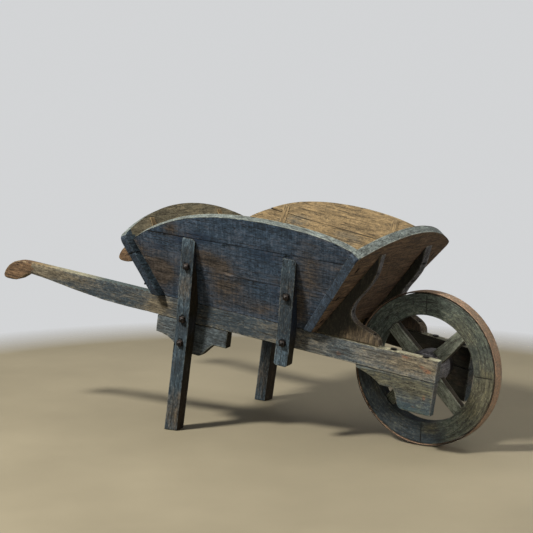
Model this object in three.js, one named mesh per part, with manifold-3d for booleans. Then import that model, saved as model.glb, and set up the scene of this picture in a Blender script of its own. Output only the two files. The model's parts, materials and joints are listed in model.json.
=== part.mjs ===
// Wooden garden wheelbarrow with a flared tray, two long shafts and a spoked wheel.
// Millimetres. +X points forward (to the wheel), +Y to the left, +Z up, ground at z = 0.
// The frame is drawn level, with the axle at its origin, and is then tilted as it stands.

import * as THREE from 'three';
import { mergeVertices } from 'three/addons/utils/BufferGeometryUtils.js';
import Module from 'manifold-3d';

const wasm = await Module();
wasm.setup();

// ---- Driving dimensions ----

const GAP = 0.3; // between pieces that touch
const OPEN_JOINT = 0.8; // between neighbouring boards

const WHEEL_RADIUS = 240;
const TYRE_THICKNESS = 5;
const TYRE_WIDTH = 48;
const FELLOE_WIDTH = 44;
const FELLOE_INNER_RADIUS = 167;
const FELLOE_CLEARANCE = 1.5; // shrunk wood inside its tyre
const WHEEL_SEGMENTS = 72;
const SPOKES = 4;
const FIRST_SPOKE_ANGLE = 43;
const SPOKE = { hubWidth: 46, rimWidth: 38, depth: 30 };
const TENON = { width: 24, depth: 16, length: 28 };
const HUB = { halfLength: 98, endRadius: 40, bellyRadius: 58, bellyHalf: 24, endHalf: 72 };
const BAND = { thickness: 4, inner: 75, outer: 96 };
const AXLE = { radius: 10, halfLength: 137, clearance: 0.8 };

const SHAFT_TILT = 8.6; // rise of the shafts towards the handles, degrees
const SHAFT_SPLAY = 6.88; // each shaft's angle from the centre line in plan, degrees
const SHAFT_OUTER_AT_AXLE = 152.6; // from the centre line to a shaft's outer face
const SHAFT = { width: 36.6, depth: 67, front: 99, chamfer: 2 };
const GRIP = { front: -1088, neck: -1370, neckDepth: 38, tail: -1478 };

const SIDE_LEAN = 17.5; // degrees out from upright
const SIDE_THICKNESS = 29;
const FRONT_LEAN = 32; // degrees forward
const REAR_LEAN = 31; // degrees backward
const FRONT = { x: -300, thickness: 30, foot: 215, corner: 305, shoulder: 323, rise: 78 };
const REAR = { x: -862, thickness: 24, foot: 292, corner: 356, shoulder: 202, rise: 84 };
const PANEL_CORNER_RADIUS = 20;
const RIGHT_SEAMS = [{ height: 126, slope: 0.03 }, { height: 236, slope: 0.045 }];
const LEFT_SEAMS = [{ height: 126, slope: 0.02 }, { height: 248, slope: -0.018 }];
const SEAM_MIDDLE = -565; // where a seam's height is measured
const FRONT_SEAM = 150;
const REAR_SEAM = 142;

const LEG = { x: -740, width: 47, thick: 50, footThick: 45, top: 284, lip: 4, bottom: -380 };
const STAKE = { x: -388, width: 47, thick: 40, footThick: 38, top: 289, lip: 4, bottom: -55 };
const CORNER_CUT = 7;
const LEG_BRACKET = { back: -861, front: -601, shallow: 56, deep: 102 };
const BEARING = { back: -158, step: 46, deep: 104 };

const CROSS_RAILS = { front: -345, middle: -565, rear: -790 };
const CROSS_RAIL = { width: 50, top: 48, height: 42, tenon: 18, tenonWidth: 34, tenonHeight: 20 };
const FLOOR = { back: -852, front: -318, thickness: 18, top: 66.4, boards: 3 };

const BOLT = { radius: 5, nut: 17, nutHeight: 8, washer: 12, washerHeight: 2, head: 10, headHeight: 4 };
const BOLT_END = 4; // thread beyond the nut
const BOLT_CLEARANCE = 0.5;
const NUT_RECESS = 10; // sinks the nuts under the bearing blocks flush
const SEAT_DEPTH = 0.6; // a nut's washer is set this deep into its post
const LEG_BOLT_HEIGHTS = [-60, 18, 192];
const STAKE_BOLT_HEIGHTS = [19, 168];
const BEARING_BOLTS = [{ x: -50, end: BEARING.step }, { x: 54, end: BEARING.deep }];

const REACH = 2000; // half size of the blocks that trim a piece to a plane

const radians = THREE.MathUtils.degToRad;
const sideSlope = Math.tan(radians(SIDE_LEAN));

// ---- Places of the main assemblies, each inside the one before ----

const frameToGround = new THREE.Matrix4().makeRotationY(radians(SHAFT_TILT));
frameToGround.setPosition(0, 0, WHEEL_RADIUS);
const sideToFrame = new THREE.Matrix4().makeRotationZ(radians(SHAFT_SPLAY));
sideToFrame.setPosition(0, -SHAFT_OUTER_AT_AXLE, 0);
const panelToSide = new THREE.Matrix4().makeRotationX(radians(SIDE_LEAN));
panelToSide.setPosition(0, 0, SHAFT.depth);
const frontToFrame = new THREE.Matrix4().makeRotationY(radians(FRONT_LEAN));
frontToFrame.setPosition(FRONT.x, 0, SHAFT.depth);
const rearToFrame = new THREE.Matrix4().makeRotationY(-radians(REAR_LEAN));
rearToFrame.setPosition(REAR.x, 0, SHAFT.depth);
const frameToSide = sideToFrame.clone().invert();
const sideToPanel = panelToSide.clone().invert();
const groundToSide = frameToSide.clone().multiply(frameToGround.clone().invert());

// ---- Finishes ----

const finishes = {
  bluePaint: { color: 0x46525e, roughness: 0.8, metalness: 0 },
  bareWood: { color: 0xa3845a, roughness: 0.85, metalness: 0 },
  brownWood: { color: 0x5d4a3c, roughness: 0.85, metalness: 0 },
  greenPaint: { color: 0x46504a, roughness: 0.8, metalness: 0 },
  rustyIron: { color: 0x6b4c3a, roughness: 0.7, metalness: 0.6 },
  darkIron: { color: 0x34322f, roughness: 0.55, metalness: 0.8 },
};

function makeMesh(name, geometry, finish) {
  const mesh = new THREE.Mesh(geometry, new THREE.MeshStandardMaterial(finishes[finish]));
  mesh.name = name;
  return mesh;
}

// ---- Joining and cutting closed solids ----

function toSolid(geometry) {
  const bare = geometry.clone();
  bare.deleteAttribute('normal');
  bare.deleteAttribute('uv');
  const welded = mergeVertices(bare, 1e-3);
  const vertProperties = new Float32Array(welded.attributes.position.array);
  const triVerts = new Uint32Array(welded.index.array);
  return new wasm.Manifold(new wasm.Mesh({ numProp: 3, vertProperties, triVerts }));
}

function toGeometry(solid) {
  const { vertProperties, triVerts } = solid.getMesh();
  const geometry = new THREE.BufferGeometry();
  geometry.setAttribute('position', new THREE.BufferAttribute(vertProperties, 3));
  geometry.setIndex(new THREE.BufferAttribute(triVerts, 1));
  geometry.computeVertexNormals();
  return geometry;
}

function cut(geometry, ...tools) {
  let solid = toSolid(geometry);
  for (const tool of tools) {
    solid = solid.subtract(toSolid(tool));
  }
  return toGeometry(solid);
}

function join(...geometries) {
  let solid = toSolid(geometries[0]);
  for (const geometry of geometries.slice(1)) {
    solid = solid.add(toSolid(geometry));
  }
  return toGeometry(solid);
}

function overlap(first, second) {
  return toGeometry(toSolid(first).intersect(toSolid(second)));
}

// ---- Basic forms ----

function block(low, high) {
  const size = high.map((value, axis) => value - low[axis]);
  const middle = high.map((value, axis) => (value + low[axis]) / 2);
  return new THREE.BoxGeometry(...size).translate(...middle);
}

// An outline drawn in x and z, with its thickness along y from y to y + width.
function sideProfile(shape, width, y = 0, chamfer = 0, curveSegments = 5) {
  const geometry = new THREE.ExtrudeGeometry(shape, {
    depth: width - 2 * chamfer,
    curveSegments,
    bevelEnabled: chamfer > 0,
    bevelThickness: chamfer,
    bevelSize: chamfer,
    bevelOffset: -chamfer,
    bevelSegments: 1,
  });
  return geometry.rotateX(Math.PI / 2).translate(0, y + width - chamfer, 0);
}

// An outline drawn in y and z, with its thickness along x from x to x + width.
function endProfile(shape, width, x = 0) {
  const options = { depth: width, bevelEnabled: false, curveSegments: 12 };
  const turn = new THREE.Matrix4().set(0, 0, 1, x, 1, 0, 0, 0, 0, 1, 0, 0, 0, 0, 0, 1);
  return new THREE.ExtrudeGeometry(shape, options).applyMatrix4(turn);
}

// An outline drawn in x and y, with its thickness along z from z to z + height.
function planProfile(shape, height, z) {
  return new THREE.ExtrudeGeometry(shape, { depth: height, bevelEnabled: false }).translate(0, 0, z);
}

function vectors(points) {
  return points.map(([x, y]) => new THREE.Vector2(x, y));
}

function polygon(points) {
  return new THREE.Shape(vectors(points));
}

// A ring round the y axis, square in section.
function ring(innerRadius, outerRadius, low, high, segments = WHEEL_SEGMENTS) {
  const corners = [[innerRadius, low], [outerRadius, low], [outerRadius, high], [innerRadius, high]];
  return new THREE.LatheGeometry(vectors([...corners, corners[0]]), segments);
}

function rodAlongY(radius, low, high, sides = 24) {
  const rod = new THREE.CylinderGeometry(radius, radius, high - low, sides);
  return rod.translate(0, (high + low) / 2, 0);
}

// ---- Blocks that trim a piece to a plane ----

const belowBed = block([-REACH, -REACH, -REACH], [REACH, REACH, SHAFT.depth + GAP]);
const belowGround = block([-REACH, -REACH, -REACH], [REACH, REACH, 0]);
const aheadOfFront = block([-FRONT.thickness - GAP, -REACH, -REACH], [REACH, REACH, REACH]);
const behindFront = block([-REACH, -REACH, -REACH], [GAP, REACH, REACH]);
const behindRear = block([-REACH, -REACH, -REACH], [REAR.thickness + GAP, REACH, REACH]);

function frameToolInSide(tool, place) {
  return tool.clone().applyMatrix4(place).applyMatrix4(frameToSide);
}

// ---- Bolts: a square nut and washer outside, a low round head inside ----

// The bolt lies along y: its nut's seat is at y = 0, its head's seat at y = length.
function boltForm(length, clearance = 0) {
  const nutHalf = BOLT.nut / 2 + clearance;
  const nutTop = -BOLT.washerHeight - BOLT.nutHeight - clearance;
  const nut = block([-nutHalf, nutTop, -nutHalf], [nutHalf, clearance, nutHalf]);
  const washer = rodAlongY(BOLT.washer + clearance, -BOLT.washerHeight - clearance, clearance, 12);
  const shank = rodAlongY(BOLT.radius + clearance, nutTop - BOLT_END, length + 1, 8);
  const head = rodAlongY(BOLT.head + clearance, length - clearance, length + BOLT.headHeight, 12);
  return join(nut, washer, shank, head);
}

// A leg's or stake's outer face stands further out towards its top, beside the flared tray.
function postFace(post, height) {
  const topFace = -(post.top - SHAFT.depth) * sideSlope - post.lip;
  const reach = height > 0 ? height / post.top : height / LEG.bottom;
  const end = height > 0 ? topFace : -post.footThick;
  return THREE.MathUtils.lerp(-post.thick, end, reach);
}

function boltPlace(post, height) {
  return { x: post.x, z: height, seat: postFace(post, height) + SEAT_DEPTH };
}

// A bolt at shaft height ends inside the shaft, a higher one inside the side board.
function boltLength(place) {
  const panelFace = -(place.z - SHAFT.depth) * sideSlope;
  const boardDepth = SIDE_THICKNESS / Math.cos(radians(SIDE_LEAN));
  const inner = place.z > SHAFT.depth ? panelFace + boardDepth - 2 : SHAFT.width + GAP;
  return inner - place.seat;
}

function placedBolt(place, clearance = 0) {
  return boltForm(boltLength(place), clearance).translate(place.x, place.seat, place.z);
}

const legBolts = LEG_BOLT_HEIGHTS.map((height) => boltPlace(LEG, height));
const stakeBolts = STAKE_BOLT_HEIGHTS.map((height) => boltPlace(STAKE, height));
const postBoltTools = [...legBolts, ...stakeBolts].map((place) => placedBolt(place, BOLT_CLEARANCE));

// A bearing bolt stands upright through the shaft and its block, its nut sunk into the block.
function bearingBolt(bolt, clearance = 0) {
  const seat = NUT_RECESS - bolt.end;
  const upright = boltForm(SHAFT.depth + GAP - seat, clearance).rotateX(Math.PI / 2);
  return upright.translate(bolt.x, SHAFT.width / 2, seat);
}

const bearingBoltTools = BEARING_BOLTS.map((bolt) => bearingBolt(bolt, BOLT_CLEARANCE));

// ---- Pieces of one side, drawn for the right and mirrored for the left ----
// x runs along the shaft, y = 0 is its outer face and +y points inboard.

const axleTool = rodAlongY(AXLE.radius + AXLE.clearance, -AXLE.halfLength - 1, AXLE.halfLength + 1);
axleTool.applyMatrix4(frameToSide);

function shaftGeometry() {
  const { depth, front } = SHAFT;
  const shape = new THREE.Shape();
  shape.moveTo(front, 0);
  shape.lineTo(front, depth);
  shape.lineTo(GRIP.neck - 20, depth);
  shape.splineThru(vectors([
    [GRIP.tail + 56, depth - 3], [GRIP.tail + 32, 54], [GRIP.tail + 12, 34], [GRIP.tail, 8],
    [GRIP.tail + 7, -4], [GRIP.tail + 30, -6], [GRIP.tail + 58, -2], [GRIP.tail + 80, 12],
    [GRIP.neck - 12, 24], [GRIP.neck, depth - GRIP.neckDepth],
  ]));
  shape.splineThru(vectors([[GRIP.neck + 60, 25], [-1190, 12], [GRIP.front, 3], [-1000, 0]]));
  const blank = sideProfile(shape, SHAFT.width, 0, SHAFT.chamfer, 2);
  const mortises = Object.values(CROSS_RAILS).map((x) => crossRailTenon(x, GAP));
  const tenonTools = mortises.map((mortise) => mortise.applyMatrix4(frameToSide));
  return cut(blank, axleTool, ...postBoltTools, ...bearingBoltTools, ...tenonTools);
}

function bearingBlockGeometry() {
  const shape = new THREE.Shape();
  const top = -GAP;
  shape.moveTo(BEARING.back, top);
  shape.lineTo(BEARING.back, -10);
  shape.quadraticCurveTo(-105, -20, -72, -BEARING.step);
  shape.lineTo(-30, -BEARING.step);
  shape.quadraticCurveTo(-20, -60, -15, -78);
  shape.quadraticCurveTo(-8, -BEARING.deep, 10, -BEARING.deep);
  shape.lineTo(SHAFT.front, -BEARING.deep);
  shape.lineTo(SHAFT.front, top);
  return cut(sideProfile(shape, SHAFT.width, 0, SHAFT.chamfer), axleTool, ...bearingBoltTools);
}

function legBracketGeometry() {
  const { back, front, shallow, deep } = LEG_BRACKET;
  const shape = new THREE.Shape();
  shape.moveTo(back, -GAP);
  shape.lineTo(back, -shallow);
  shape.quadraticCurveTo(back + 60, -shallow, back + 94, -deep);
  shape.lineTo(front - 106, -deep);
  shape.quadraticCurveTo(front - 88, -deep - 4, front - 76, -deep + 14);
  shape.quadraticCurveTo(front - 60, -shallow - 12, front - 46, -shallow);
  shape.lineTo(front, -shallow);
  shape.lineTo(front, -GAP);
  return cut(sideProfile(shape, SHAFT.width, 0, SHAFT.chamfer), ...postBoltTools);
}

// Seen from the end, a post is full thickness below and thins to a lip beside the tray.
function postEndProfile(post) {
  const panelTop = -(post.top - SHAFT.depth) * sideSlope;
  return polygon([
    [-GAP, post.bottom], [-GAP, SHAFT.depth], [panelTop - 2 * GAP, post.top],
    [postFace(post, post.top), post.top], [-post.thick, 0], [postFace(post, post.bottom), post.bottom],
  ]);
}

function postGeometry(post) {
  const half = post.width / 2;
  const [left, right] = [post.x - half, post.x + half];
  const face = polygon([
    [left, post.bottom + CORNER_CUT], [left + CORNER_CUT, post.bottom],
    [right - CORNER_CUT, post.bottom], [right, post.bottom + CORNER_CUT],
    [right, post.top - CORNER_CUT], [right - CORNER_CUT, post.top],
    [left + CORNER_CUT / 2, post.top], [left, post.top - CORNER_CUT / 2],
  ]);
  const thick = postEndProfile(post);
  const blank = overlap(sideProfile(face, 200, -200), endProfile(thick, post.width, left));
  return cut(blank, belowGround.clone().applyMatrix4(groundToSide), ...postBoltTools);
}

function scrollBracketGeometry() {
  const base = SHAFT.depth + GAP;
  const shape = new THREE.Shape();
  shape.moveTo(-330, base);
  shape.lineTo(-92, base);
  shape.quadraticCurveTo(-94, 86, -108, 96);
  shape.quadraticCurveTo(-122, 106, -146, 112);
  shape.quadraticCurveTo(-186, 120, -195, 148);
  shape.quadraticCurveTo(-198, 172, -176, 204);
  shape.quadraticCurveTo(-138, 254, -131, 290);
  shape.lineTo(-123, 346);
  shape.lineTo(-330, 346);
  const blank = sideProfile(shape, SHAFT.width, 0, SHAFT.chamfer);
  return cut(blank, frameToolInSide(behindFront, frontToFrame));
}

// The arched outline of a side panel, in x along the shaft and height up the slope.
function sidePanelOutline() {
  const shape = new THREE.Shape();
  shape.moveTo(-1000, -15);
  shape.lineTo(-1000, 128);
  shape.splineThru(vectors([
    [-942, 188], [-878, 234], [-763, 290], [-640, 320], [-514, 333],
    [-400, 334], [-300, 327], [-225, 313], [-160, 290], [-110, 262],
  ]));
  shape.lineTo(-110, -15);
  return shape;
}

function seamHeight(seam, x) {
  return seam.height + seam.slope * (x - SEAM_MIDDLE);
}

// One side board lies between two seams; the first and last reach past the panel's edges.
function sideBoardGeometry(seams, index) {
  const below = seams[index - 1] ?? { height: -40, slope: 0 };
  const above = seams[index] ?? { height: 400, slope: 0 };
  const band = polygon([
    [-1100, seamHeight(below, -1100) + OPEN_JOINT / 2], [0, seamHeight(below, 0) + OPEN_JOINT / 2],
    [0, seamHeight(above, 0) - OPEN_JOINT / 2], [-1100, seamHeight(above, -1100) - OPEN_JOINT / 2],
  ]);
  const panel = sideProfile(sidePanelOutline(), SIDE_THICKNESS, 0, 0, 3);
  const board = overlap(panel, sideProfile(band, SIDE_THICKNESS + 2, -1)).applyMatrix4(panelToSide);
  const front = frameToolInSide(aheadOfFront, frontToFrame);
  const rear = frameToolInSide(behindRear, rearToFrame);
  return cut(board, belowBed, front, rear, ...postBoltTools).applyMatrix4(sideToPanel);
}

// ---- Front and rear panels, drawn in y and height up their slope ----

function archedPanelOutline(panel) {
  const { foot, corner, shoulder, rise } = panel;
  const lower = 20;
  const taper = (corner - foot) / shoulder;
  const radius = (corner ** 2 + rise ** 2) / (2 * rise);
  const start = Math.asin((corner - PANEL_CORNER_RADIUS) / radius);
  const shape = new THREE.Shape();
  shape.moveTo(-foot + lower * taper, -lower);
  shape.lineTo(foot - lower * taper, -lower);
  shape.lineTo(corner - PANEL_CORNER_RADIUS * taper, shoulder - PANEL_CORNER_RADIUS);
  const archStart = shoulder + rise - radius * (1 - Math.cos(start));
  shape.quadraticCurveTo(corner, shoulder, corner - PANEL_CORNER_RADIUS, archStart);
  shape.absarc(0, shoulder + rise - radius, radius, Math.PI / 2 - start, Math.PI / 2 + start, false);
  const side = -corner + PANEL_CORNER_RADIUS * taper;
  shape.quadraticCurveTo(-corner, shoulder, side, shoulder - PANEL_CORNER_RADIUS);
  return shape;
}

function panelBoardGeometry(panel, place, low, high) {
  const inboard = panel === FRONT ? -panel.thickness : 0;
  const whole = endProfile(archedPanelOutline(panel), panel.thickness, inboard);
  const band = block([-REACH, -REACH, low], [REACH, REACH, high]);
  const floorTool = belowBed.clone().applyMatrix4(place.clone().invert());
  return cut(overlap(whole, band), floorTool);
}

// ---- Cross rails and floor, in the frame's own axes ----

function innerFaceY(x) {
  const splay = radians(SHAFT_SPLAY);
  return SHAFT_OUTER_AT_AXLE - SHAFT.width / Math.cos(splay) - x * Math.tan(splay);
}

// A slab across the frame whose ends stand the given distance past the shafts' inner faces.
function slabBetweenShafts(back, front, past, height, z) {
  const ends = [innerFaceY(back) + past, innerFaceY(front) + past];
  const plan = polygon([[back, -ends[0]], [front, -ends[1]], [front, ends[1]], [back, ends[0]]]);
  return planProfile(plan, height, z);
}

function crossRailTenon(x, clearance = 0) {
  const half = CROSS_RAIL.tenonWidth / 2 + clearance;
  const height = CROSS_RAIL.tenonHeight + 2 * clearance;
  const z = CROSS_RAIL.top - CROSS_RAIL.height / 2 - height / 2;
  return slabBetweenShafts(x - half, x + half, CROSS_RAIL.tenon + clearance, height, z);
}

function crossRailGeometry(x) {
  const half = CROSS_RAIL.width / 2;
  const z = CROSS_RAIL.top - CROSS_RAIL.height;
  const body = slabBetweenShafts(x - half, x + half, -2 * GAP, CROSS_RAIL.height, z);
  return join(body, crossRailTenon(x));
}

function floorBoardGeometry(index) {
  const bottom = FLOOR.top - FLOOR.thickness;
  const sheet = slabBetweenShafts(FLOOR.back, FLOOR.front, -3 * GAP, FLOOR.thickness, bottom);
  const width = (2 * innerFaceY(FLOOR.front)) / FLOOR.boards;
  const low = index === 0 ? -REACH : -innerFaceY(FLOOR.front) + index * width + OPEN_JOINT / 2;
  const last = index === FLOOR.boards - 1;
  const high = last ? REACH : -innerFaceY(FLOOR.front) + (index + 1) * width - OPEN_JOINT / 2;
  return overlap(sheet, block([-REACH, low, -REACH], [REACH, high, REACH]));
}

// ---- Wheel, round the y axis ----

// A spoke lies along x from the hub to the rim before it is turned to its angle.
function spokeGeometry() {
  const inner = HUB.bellyRadius - 10;
  const outer = FELLOE_INNER_RADIUS + 10;
  const face = polygon([
    [inner, -SPOKE.hubWidth / 2], [outer, -SPOKE.rimWidth / 2],
    [outer, SPOKE.rimWidth / 2], [inner, SPOKE.hubWidth / 2],
  ]);
  const blank = sideProfile(face, SPOKE.depth, -SPOKE.depth / 2, 3);
  const between = ring(HUB.bellyRadius + GAP, FELLOE_INNER_RADIUS - GAP, -40, 40);
  return join(overlap(blank, between), spokeTenons());
}

function spokeTenons(clearance = 0) {
  const low = HUB.bellyRadius - TENON.length - clearance;
  const high = FELLOE_INNER_RADIUS + TENON.length + clearance;
  const width = TENON.width / 2 + clearance;
  const depth = TENON.depth / 2 + clearance;
  return block([low, -depth, -width], [high, depth, width]);
}

function spokeAngle(index) {
  return radians(FIRST_SPOKE_ANGLE + (index * 360) / SPOKES);
}

const mortiseTools = Array.from({ length: SPOKES }, (_, index) => {
  return spokeTenons(GAP).rotateY(-spokeAngle(index));
});

function hubGeometry() {
  const { halfLength, endRadius, bellyRadius, bellyHalf, endHalf } = HUB;
  const bore = AXLE.radius + GAP;
  const outline = vectors([
    [bore, -halfLength], [endRadius, -halfLength], [endRadius, -endHalf],
    [bellyRadius - 4, -endHalf + 22], [bellyRadius, -bellyHalf], [bellyRadius, bellyHalf],
    [bellyRadius - 4, endHalf - 22], [endRadius, endHalf], [endRadius, halfLength],
    [bore, halfLength], [bore, -halfLength],
  ]);
  return cut(new THREE.LatheGeometry(outline, 32), ...mortiseTools);
}

function felloeGeometry() {
  const outer = WHEEL_RADIUS - TYRE_THICKNESS - FELLOE_CLEARANCE;
  const half = Math.PI / SPOKES - OPEN_JOINT / 2 / outer;
  const shape = new THREE.Shape();
  shape.absarc(0, 0, outer, -half, half, false);
  shape.absarc(0, 0, FELLOE_INNER_RADIUS, half, -half, true);
  const blank = sideProfile(shape, FELLOE_WIDTH, -FELLOE_WIDTH / 2, 2, 9);
  return cut(blank, spokeTenons(GAP));
}

function buildWheel() {
  const wheel = new THREE.Group();
  const halfTyre = TYRE_WIDTH / 2;
  const tyre = ring(WHEEL_RADIUS - TYRE_THICKNESS, WHEEL_RADIUS, -halfTyre, halfTyre);
  const band = ring(HUB.endRadius + GAP, HUB.endRadius + BAND.thickness, BAND.inner, BAND.outer, 32);
  const axle = rodAlongY(AXLE.radius, -AXLE.halfLength, AXLE.halfLength);
  wheel.add(makeMesh('tyre', tyre, 'rustyIron'));
  wheel.add(makeMesh('hub', hubGeometry(), 'greenPaint'));
  wheel.add(makeMesh('hub_band_left', band, 'darkIron'));
  wheel.add(makeMesh('hub_band_right', band.clone().rotateX(Math.PI), 'darkIron'));
  wheel.add(makeMesh('axle', axle, 'darkIron'));
  for (let index = 0; index < SPOKES; index += 1) {
    const spoke = makeMesh(`spoke_${index + 1}`, spokeGeometry(), 'greenPaint');
    const felloe = makeMesh(`felloe_${index + 1}`, felloeGeometry(), 'greenPaint');
    spoke.rotation.y = -spokeAngle(index);
    felloe.rotation.y = -spokeAngle(index);
    wheel.add(spoke, felloe);
  }
  wheel.position.z = WHEEL_RADIUS;
  return wheel;
}

// ---- Assembly ----

function addBolts(group, name, places, make) {
  places.forEach((place, index) => {
    group.add(makeMesh(`${name}_${index + 1}`, make(place), 'darkIron'));
  });
}

function buildSide(name, seams) {
  const side = new THREE.Group();
  side.add(makeMesh(`${name}_shaft`, shaftGeometry(), 'brownWood'));
  side.add(makeMesh(`${name}_bearing_block`, bearingBlockGeometry(), 'brownWood'));
  side.add(makeMesh(`${name}_leg_bracket`, legBracketGeometry(), 'bluePaint'));
  side.add(makeMesh(`${name}_leg`, postGeometry(LEG), 'bluePaint'));
  side.add(makeMesh(`${name}_side_stake`, postGeometry(STAKE), 'bluePaint'));
  side.add(makeMesh(`${name}_scroll_bracket`, scrollBracketGeometry(), 'brownWood'));
  addBolts(side, `${name}_leg_bolt`, legBolts, placedBolt);
  addBolts(side, `${name}_stake_bolt`, stakeBolts, placedBolt);
  addBolts(side, `${name}_bearing_bolt`, BEARING_BOLTS, bearingBolt);
  const panel = new THREE.Group();
  ['low', 'middle', 'top'].forEach((row, index) => {
    const board = sideBoardGeometry(seams, index);
    panel.add(makeMesh(`${name}_side_board_${row}`, board, 'bluePaint'));
  });
  panel.applyMatrix4(panelToSide);
  side.add(panel);
  side.applyMatrix4(sideToFrame);
  return side;
}

function buildPanel(name, panel, place, seam) {
  const group = new THREE.Group();
  const low = panelBoardGeometry(panel, place, -REACH, seam - OPEN_JOINT / 2);
  const top = panelBoardGeometry(panel, place, seam + OPEN_JOINT / 2, REACH);
  group.add(makeMesh(`${name}_board_low`, low, 'brownWood'));
  group.add(makeMesh(`${name}_board_top`, top, 'brownWood'));
  group.applyMatrix4(place);
  return group;
}

function buildFrame() {
  const frame = new THREE.Group();
  const mirrored = new THREE.Group();
  mirrored.add(buildSide('left', LEFT_SEAMS));
  mirrored.scale.y = -1;
  frame.add(buildSide('right', RIGHT_SEAMS), mirrored);
  frame.add(buildPanel('front', FRONT, frontToFrame, FRONT_SEAM));
  frame.add(buildPanel('rear', REAR, rearToFrame, REAR_SEAM));
  for (const [name, x] of Object.entries(CROSS_RAILS)) {
    frame.add(makeMesh(`cross_rail_${name}`, crossRailGeometry(x), 'bareWood'));
  }
  ['right', 'middle', 'left'].forEach((name, index) => {
    frame.add(makeMesh(`floor_board_${name}`, floorBoardGeometry(index), 'bareWood'));
  });
  frame.applyMatrix4(frameToGround);
  return frame;
}

// The origin is on the ground, on the centre line, midway along the object's length.
function centreAlongLength(group) {
  group.updateMatrixWorld(true);
  const box = new THREE.Box3().setFromObject(group, true);
  group.children.forEach((child) => {
    child.position.x -= (box.min.x + box.max.x) / 2;
  });
}

const wheelbarrow = new THREE.Group();
wheelbarrow.add(buildWheel(), buildFrame());
centreAlongLength(wheelbarrow);

export default wheelbarrow;
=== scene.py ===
"""Looks of an old wooden wheelbarrow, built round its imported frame. Metres, +Z up.

Every node gets a worn copy of itself: its flat faces are rebuilt, or turned anew where they are
round, its edges are rounded, and its surface is cut into a fine grid and weathered. Each vertex
keeps where it lies along, across and through the grain of its own board, which the procedural
materials read.
"""

import json
import math

import bmesh
import bpy
from mathutils import Matrix, Vector, noise
from mathutils.bvhtree import BVHTree
from mathutils.kdtree import KDTree

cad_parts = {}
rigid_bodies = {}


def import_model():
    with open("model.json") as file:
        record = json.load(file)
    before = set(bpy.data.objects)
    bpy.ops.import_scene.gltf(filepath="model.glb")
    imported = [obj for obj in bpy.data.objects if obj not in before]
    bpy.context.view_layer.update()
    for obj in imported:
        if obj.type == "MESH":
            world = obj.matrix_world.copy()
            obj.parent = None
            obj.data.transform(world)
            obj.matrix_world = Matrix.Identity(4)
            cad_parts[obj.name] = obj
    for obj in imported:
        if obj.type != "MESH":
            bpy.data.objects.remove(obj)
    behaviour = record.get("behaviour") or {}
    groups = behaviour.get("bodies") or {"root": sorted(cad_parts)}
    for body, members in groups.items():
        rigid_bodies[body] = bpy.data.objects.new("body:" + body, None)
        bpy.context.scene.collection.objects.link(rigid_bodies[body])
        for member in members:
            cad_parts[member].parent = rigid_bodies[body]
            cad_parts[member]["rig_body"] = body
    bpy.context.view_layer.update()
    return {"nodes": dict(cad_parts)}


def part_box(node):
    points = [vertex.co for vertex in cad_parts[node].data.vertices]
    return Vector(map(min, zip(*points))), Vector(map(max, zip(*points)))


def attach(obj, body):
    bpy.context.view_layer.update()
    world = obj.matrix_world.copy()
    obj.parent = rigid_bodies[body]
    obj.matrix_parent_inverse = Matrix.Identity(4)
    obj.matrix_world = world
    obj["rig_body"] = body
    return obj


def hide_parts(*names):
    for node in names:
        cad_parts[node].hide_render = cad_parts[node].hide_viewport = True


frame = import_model()

# ---- The barrow's own directions ----

radians = math.radians
axle_low, axle_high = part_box("axle")
AXLE = (axle_low + axle_high) / 2
TILT = radians(8.6)  # rise of the shafts towards the handles
SPLAY = radians(6.88)  # a shaft's angle from the centre line
SHAFT_FACE = 0.1526  # from the centre line to a shaft's outer face, beside the axle
SHAFT_DEPTH = 0.067
SIDE_LEAN = radians(17.5)
SIDE_THICKNESS = 0.029
FRONT_FOOT, FRONT_LEAN = -0.300, radians(32)
REAR_FOOT, REAR_LEAN = -0.862, radians(-31)
REAR_THICKNESS = 0.024
SIDES = ("right", "left")
SIGN = {"right": -1, "left": 1}
FIRST_SPOKE = radians(43)


def moved(x, y, z):
    return Matrix.Translation((x, y, z))


def turned(angle, axis):
    return Matrix.Rotation(angle, 4, axis)


frame_place = moved(*AXLE) @ turned(TILT, "Y")
mirrored = Matrix.Diagonal((1, -1, 1, 1))
right_place = moved(0, -SHAFT_FACE, 0) @ turned(SPLAY, "Z")
side_place = {"right": frame_place @ right_place, "left": frame_place @ mirrored @ right_place}
panel_in_side = moved(0, 0, SHAFT_DEPTH) @ turned(SIDE_LEAN, "X")
panel_place = {side: side_place[side] @ panel_in_side for side in SIDES}
front_place = frame_place @ moved(FRONT_FOOT, 0, SHAFT_DEPTH) @ turned(FRONT_LEAN, "Y")
rear_place = frame_place @ moved(REAR_FOOT, 0, SHAFT_DEPTH) @ turned(REAR_LEAN, "Y")
wheel_place = moved(*AXLE)

# ---- Camera and light ----

SENSOR_WIDTH, FOCAL_LENGTH = 36.0, 94.86  # in millimetres
CAMERA_PLACE = (AXLE.x + 1.9215, -3.8247, 1.0723)
CAMERA_DIP, CAMERA_TURN = 6.95, 33.2935  # in degrees


def add_camera():
    data = bpy.data.cameras.new("camera")
    data.sensor_width = SENSOR_WIDTH
    data.lens = FOCAL_LENGTH
    camera = bpy.data.objects.new("camera", data)
    camera.location = CAMERA_PLACE
    camera.rotation_euler = (radians(90 - CAMERA_DIP), 0, radians(CAMERA_TURN))
    bpy.context.scene.collection.objects.link(camera)
    bpy.context.scene.camera = camera


def add_light(name, offset, size, power, colour, target=(0.1, 0, 0.35), spread=180):
    data = bpy.data.lights.new(name, "AREA")
    data.shape = "DISK"
    data.size = size
    data.energy = power
    data.color = colour
    data.spread = radians(spread)
    light = bpy.data.objects.new(name, data)
    target = Vector(target)
    light.location = target + Vector(offset)
    light.rotation_euler = (target - light.location).to_track_quat("-Z", "Y").to_euler()
    bpy.context.scene.collection.objects.link(light)


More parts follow.
